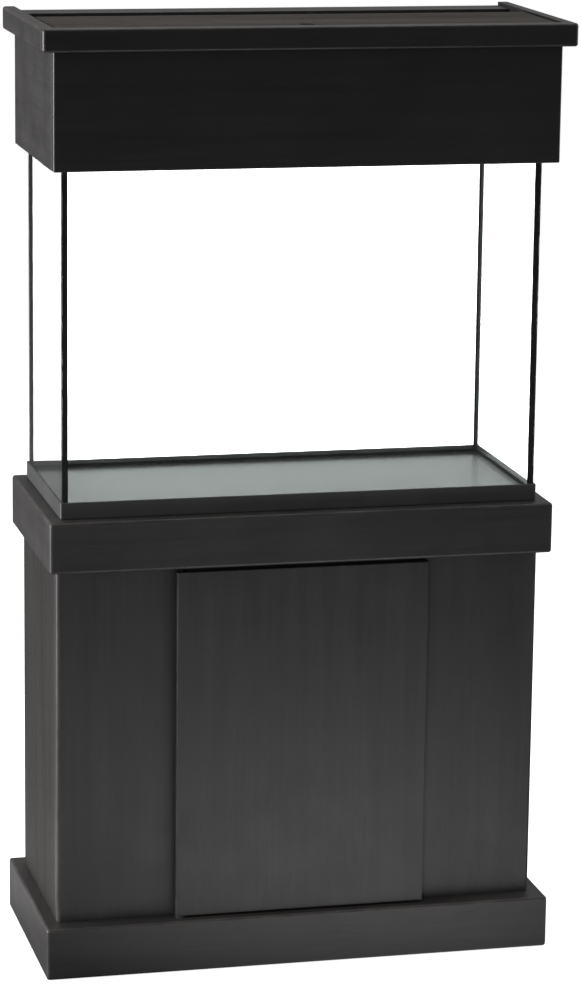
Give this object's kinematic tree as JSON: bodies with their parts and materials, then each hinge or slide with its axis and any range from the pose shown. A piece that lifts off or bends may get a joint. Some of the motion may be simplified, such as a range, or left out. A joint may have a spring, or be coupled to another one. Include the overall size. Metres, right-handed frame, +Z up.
{
  "type": "aquarium on stand",
  "caption": "Tall glass aquarium on a black wooden cabinet with an overlay door, under a lift-off wooden hood with a hinged lid.",
  "frame": {"origin": "on the floor under the middle of the whole outline", "axes": "+Z up, -Y towards the door side, +X to the right as seen from the door side"},
  "size_m": [0.836, 0.392, 1.502],
  "materials": {
    "stained_wood": "satin black stain over open grain",
    "inside_wood": "matt black stain",
    "pivot_steel": "black oxide",
    "screw_steel": "zinc plated",
    "spring_steel": "bright",
    "hinge_steel": "nickel plated",
    "nylon": "moulded, black",
    "bumper_rubber": "soft clear grey",
    "latch_plastic": "moulded",
    "plunger_plastic": "moulded",
    "magnet": "sintered ferrite",
    "frame_plastic": "moulded, satin",
    "clear_glass": "polished float glass",
    "black_silicone": "tooled",
    "pale_foam": "closed-cell sheet"
  },
  "bodies": {
    "stand": {"base_front_board": "stained_wood", "base_back_board": "stained_wood", "base_left_board": "stained_wood", "base_right_board": "stained_wood", "base_corner_blocks": "inside_wood", "cabinet_left_side": "stained_wood", "cabinet_right_side": "stained_wood", "cabinet_floor": "inside_wood", "front_left_panel": "stained_wood", "front_right_panel": "stained_wood", "front_top_rail": "inside_wood", "front_bottom_rail": "inside_wood", "back_top_rail": "inside_wood", "back_bottom_rail": "inside_wood", "top_front_board": "stained_wood", "top_back_board": "stained_wood", "top_left_board": "stained_wood", "top_right_board": "stained_wood", "top_deck": "inside_wood", "deck_cleats": "inside_wood", "levelling_mat": "pale_foam", "door_pivot_pins": "pivot_steel", "door_pivot_washer": "nylon", "door_bumpers": "bumper_rubber", "latch_housing": "latch_plastic", "latch_housing_screws": "screw_steel", "latch_spring": "spring_steel"},
    "door": {"door_panel": "stained_wood", "door_pivot_bushes": "nylon", "strike_plate": "pivot_steel", "strike_plate_screws": "screw_steel"},
    "latch_plunger": {"latch_plunger": "plunger_plastic", "latch_magnet": "magnet"},
    "tank": {"tank_bottom_frame": "frame_plastic", "tank_top_frame": "frame_plastic", "front_glass": "clear_glass", "back_glass": "clear_glass", "left_glass": "clear_glass", "right_glass": "clear_glass", "bottom_glass": "clear_glass", "corner_silicone": "black_silicone", "floor_silicone": "black_silicone"},
    "hood": {"hood_front_board": "stained_wood", "hood_left_board": "stained_wood", "hood_right_board": "stained_wood", "hood_back_rail": "inside_wood", "hood_cross_rail": "inside_wood", "hood_rear_strip": "stained_wood", "hood_side_cleats": "inside_wood", "hood_front_cleat": "inside_wood", "cap_front_board": "stained_wood", "cap_left_board": "stained_wood", "cap_right_board": "stained_wood", "rail_hinge_leaves": "hinge_steel", "rail_hinge_screws": "screw_steel", "lid_hinge_pins": "hinge_steel"},
    "lid": {"lid_panel": "stained_wood", "lid_hinge_leaves": "hinge_steel", "lid_hinge_screws": "screw_steel"}
  },
  "joints": [
    {"name": "door_hinge", "type": "hinge", "parent": "stand", "child": "door", "pos_m": [-0.1925, -0.153, 0.368], "axis": [0, 0, -1], "range_deg": [0, 100]},
    {"name": "latch_press", "type": "slide", "parent": "stand", "child": "latch_plunger", "axis": [0, 1, 0], "range_m": [0, 0.003], "stiffness_N_per_m": 400, "springref_m": -0.005},
    {"name": "tank_lift", "type": "slide", "parent": "stand", "child": "tank", "axis": [0, 0, 1], "range_m": [0, 0.15]},
    {"name": "hood_lift", "type": "slide", "parent": "tank", "child": "hood", "axis": [0, 0, 1], "range_m": [0, 0.15]},
    {"name": "lid_hinge", "type": "hinge", "parent": "hood", "child": "lid", "pos_m": [0, 0.02, 1.48415], "axis": [-1, 0, 0], "range_deg": [0, 100]}
  ]
}
